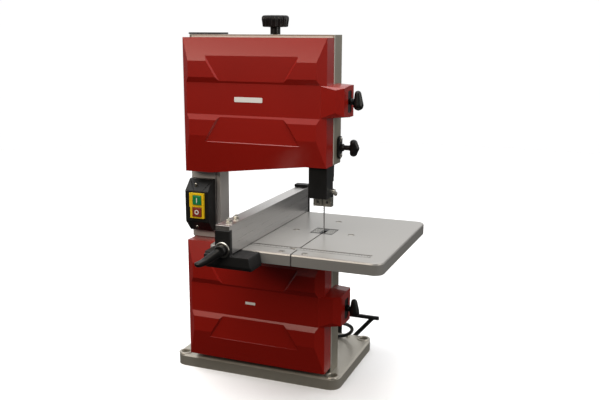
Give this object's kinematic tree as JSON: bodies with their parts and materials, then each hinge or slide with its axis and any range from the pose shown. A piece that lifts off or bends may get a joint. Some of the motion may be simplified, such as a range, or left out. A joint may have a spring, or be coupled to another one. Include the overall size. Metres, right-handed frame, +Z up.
{
  "type": "band saw",
  "caption": "Bench-top vertical band saw with sheet-steel frame, moulded doors over two band wheels, tilting table, rip fence and height-adjustable blade guide.",
  "frame": {"origin": "centre of the underside of the base", "axes": "+Z up, -Y towards the operator (the doors face -Y), +X to the right, from the column towards the blade"},
  "size_m": [0.449, 0.538, 0.6705],
  "materials": {
    "frame_paint": "metallic silver-bronze paint, satin",
    "base_casting": "metallic silver-bronze paint over a casting, satin",
    "table_casting": "machined top, painted edge, satin",
    "trunnion_casting": "cast, satin",
    "door_red": "glossy moulded red",
    "black_plastic": "moulded, lightly textured",
    "black_steel": "black enamel, satin",
    "steel": "machined",
    "bright_steel": "bright plated",
    "blade_steel": "dark spring steel",
    "wheel_casting": "cast and turned",
    "fence_aluminium": "extruded, brushed",
    "tyre_rubber": "matte rubber",
    "lead_rubber": "smooth black sheath",
    "switch_yellow": "moulded yellow",
    "switch_green": "moulded green",
    "switch_red": "moulded red"
  },
  "bodies": {
    "frame": {"base_plate": "base_casting", "upper_housing": "frame_paint", "lower_housing": "frame_paint", "column": "frame_paint", "column_cover": "frame_paint", "top_pad": "black_plastic", "dust_port": "black_plastic", "saw_blade": "blade_steel", "motor_housing": "black_steel", "motor_fan_cover": "black_plastic", "cable_gland": "lead_rubber", "mains_lead": "lead_rubber", "lead_coil": "lead_rubber", "mains_plug": "black_plastic", "carriage_channel": "steel", "post_bracket": "frame_paint", "guide_knob_flange": "black_plastic", "lower_guide_holder": "steel", "trunnion_bracket": "steel", "switch_box": "black_plastic", "switch_bezel": "switch_yellow", "rear_bar": "black_steel"},
    "upper_door": {"upper_door": "door_red", "upper_latch_plate": "black_plastic"},
    "upper_latch": {"upper_latch_knob": "black_plastic", "upper_latch_tongue": "steel"},
    "lower_door": {"lower_door": "door_red", "lower_latch_plate": "black_plastic"},
    "lower_latch": {"lower_latch_knob": "black_plastic", "lower_latch_tongue": "steel"},
    "carriage": {"wheel_carriage": "steel", "tension_spring": "steel"},
    "tension": {"tension_knob": "black_plastic", "tension_screw": "steel"},
    "axle": {"axle_arm": "steel"},
    "tracking": {"tracking_knob": "black_plastic"},
    "upper_wheel": {"upper_wheel": "wheel_casting", "upper_tyre": "tyre_rubber"},
    "lower_wheel": {"lower_wheel": "wheel_casting", "lower_tyre": "tyre_rubber", "motor_shaft": "steel"},
    "guide": {"guide_post": "black_steel", "guide_holder": "black_steel", "guide_block_left": "bright_steel", "guide_block_right": "bright_steel", "blade_guard": "black_steel"},
    "guide_drive": {"guide_height_knob": "black_plastic", "guide_pinion": "steel"},
    "upper_bearing": {"upper_thrust_bearing": "bright_steel"},
    "lower_bearing": {"lower_thrust_bearing": "bright_steel"},
    "table": {"table": "table_casting", "table_insert": "black_plastic", "trunnion_sector": "trunnion_casting"},
    "tilt_lever": {"tilt_lock_lever": "black_plastic"},
    "fence": {"fence_bar": "fence_aluminium", "fence_head": "black_plastic", "fence_end_cap": "black_plastic"},
    "fence_lever": {"fence_lever": "black_plastic"},
    "start_button": {"start_button": "switch_green"},
    "stop_button": {"stop_button": "switch_red"}
  },
  "joints": [
    {"name": "upper_door_hinge", "type": "hinge", "parent": "frame", "child": "upper_door", "pos_m": [-0.1365, -0.093, 0.51], "axis": [0, 0, -1], "range_deg": [0, 110]},
    {"name": "upper_latch_turn", "type": "hinge", "parent": "upper_door", "child": "upper_latch", "pos_m": [0.159, -0.086, 0.5255], "axis": [1, 0, 0], "range_deg": [0, 90]},
    {"name": "lower_door_hinge", "type": "hinge", "parent": "frame", "child": "lower_door", "pos_m": [-0.1365, -0.093, 0.15], "axis": [0, 0, -1], "range_deg": [0, 110]},
    {"name": "lower_latch_turn", "type": "hinge", "parent": "lower_door", "child": "lower_latch", "pos_m": [0.159, -0.086, 0.153], "axis": [1, 0, 0], "range_deg": [0, 90]},
    {"name": "tension_knob_turn", "type": "hinge", "parent": "frame", "child": "tension", "pos_m": [0.02525, -0.0605, 0.66], "axis": [0, 0, 1], "range_deg": [0, 1180]},
    {"name": "carriage_slide", "type": "slide", "parent": "frame", "child": "carriage", "axis": [0, 0, 1], "range_m": [-0.004, 0]},
    {"name": "tracking_knob_turn", "type": "hinge", "parent": "carriage", "child": "tracking", "pos_m": [0.02525, -0.038, 0.506], "axis": [0, 1, 0], "range_deg": [-150, 150]},
    {"name": "axle_tilt", "type": "hinge", "parent": "carriage", "child": "axle", "pos_m": [0.02525, -0.068, 0.5208], "axis": [1, 0, 0], "range_deg": [-0.79, 0.79]},
    {"name": "upper_wheel_spin", "type": "hinge", "parent": "axle", "child": "upper_wheel", "pos_m": [0.02525, -0.084, 0.5208], "axis": [0, 1, 0], "continuous": true},
    {"name": "lower_wheel_spin", "type": "hinge", "parent": "frame", "child": "lower_wheel", "pos_m": [0.02525, -0.084, 0.1452], "axis": [0, 1, 0], "continuous": true},
    {"name": "guide_height", "type": "slide", "parent": "frame", "child": "guide", "axis": [0, 0, 1], "range_m": [-0.045, 0.03]},
    {"name": "guide_knob_turn", "type": "hinge", "parent": "frame", "child": "guide_drive", "pos_m": [0.169, -0.0585, 0.441], "axis": [1, 0, 0], "range_deg": [-290, 433]},
    {"name": "upper_bearing_spin", "type": "hinge", "parent": "guide", "child": "upper_bearing", "pos_m": [0.1352, -0.0785, 0.347], "axis": [0, 1, 0], "continuous": true},
    {"name": "lower_bearing_spin", "type": "hinge", "parent": "frame", "child": "lower_bearing", "pos_m": [0.1352, -0.0785, 0.244], "axis": [0, 1, 0], "continuous": true},
    {"name": "table_tilt", "type": "hinge", "parent": "frame", "child": "table", "pos_m": [0.129, -0.088, 0.29], "axis": [0, 1, 0], "range_deg": [0, 45]},
    {"name": "tilt_lock_turn", "type": "hinge", "parent": "frame", "child": "tilt_lever", "pos_m": [0.129, -0.024, 0.23], "axis": [0, 1, 0], "range_deg": [-50, 0]},
    {"name": "fence_slide", "type": "slide", "parent": "table", "child": "fence", "axis": [-1, 0, 0], "range_m": [-0.058, 0.004]},
    {"name": "fence_lever_turn", "type": "hinge", "parent": "fence", "child": "fence_lever", "pos_m": [0.0295, -0.294, 0.299], "axis": [0, 1, 0], "range_deg": [0, 75]},
    {"name": "start_button_press", "type": "slide", "parent": "frame", "child": "start_button", "axis": [0, 1, 0], "range_m": [0, 0.003], "stiffness_N_per_m": 300},
    {"name": "stop_button_press", "type": "slide", "parent": "frame", "child": "stop_button", "axis": [0, 1, 0], "range_m": [0, 0.003], "stiffness_N_per_m": 300}
  ],
  "couplings": [
    {"joint": "tension_knob_turn", "follows": "carriage_slide", "rad_per_m": -5026.6},
    {"joint": "tracking_knob_turn", "follows": "axle_tilt", "ratio": 187.5},
    {"joint": "upper_wheel_spin", "follows": "lower_wheel_spin", "ratio": 1},
    {"joint": "guide_knob_turn", "follows": "guide_height", "rad_per_m": -166.67}
  ]
}
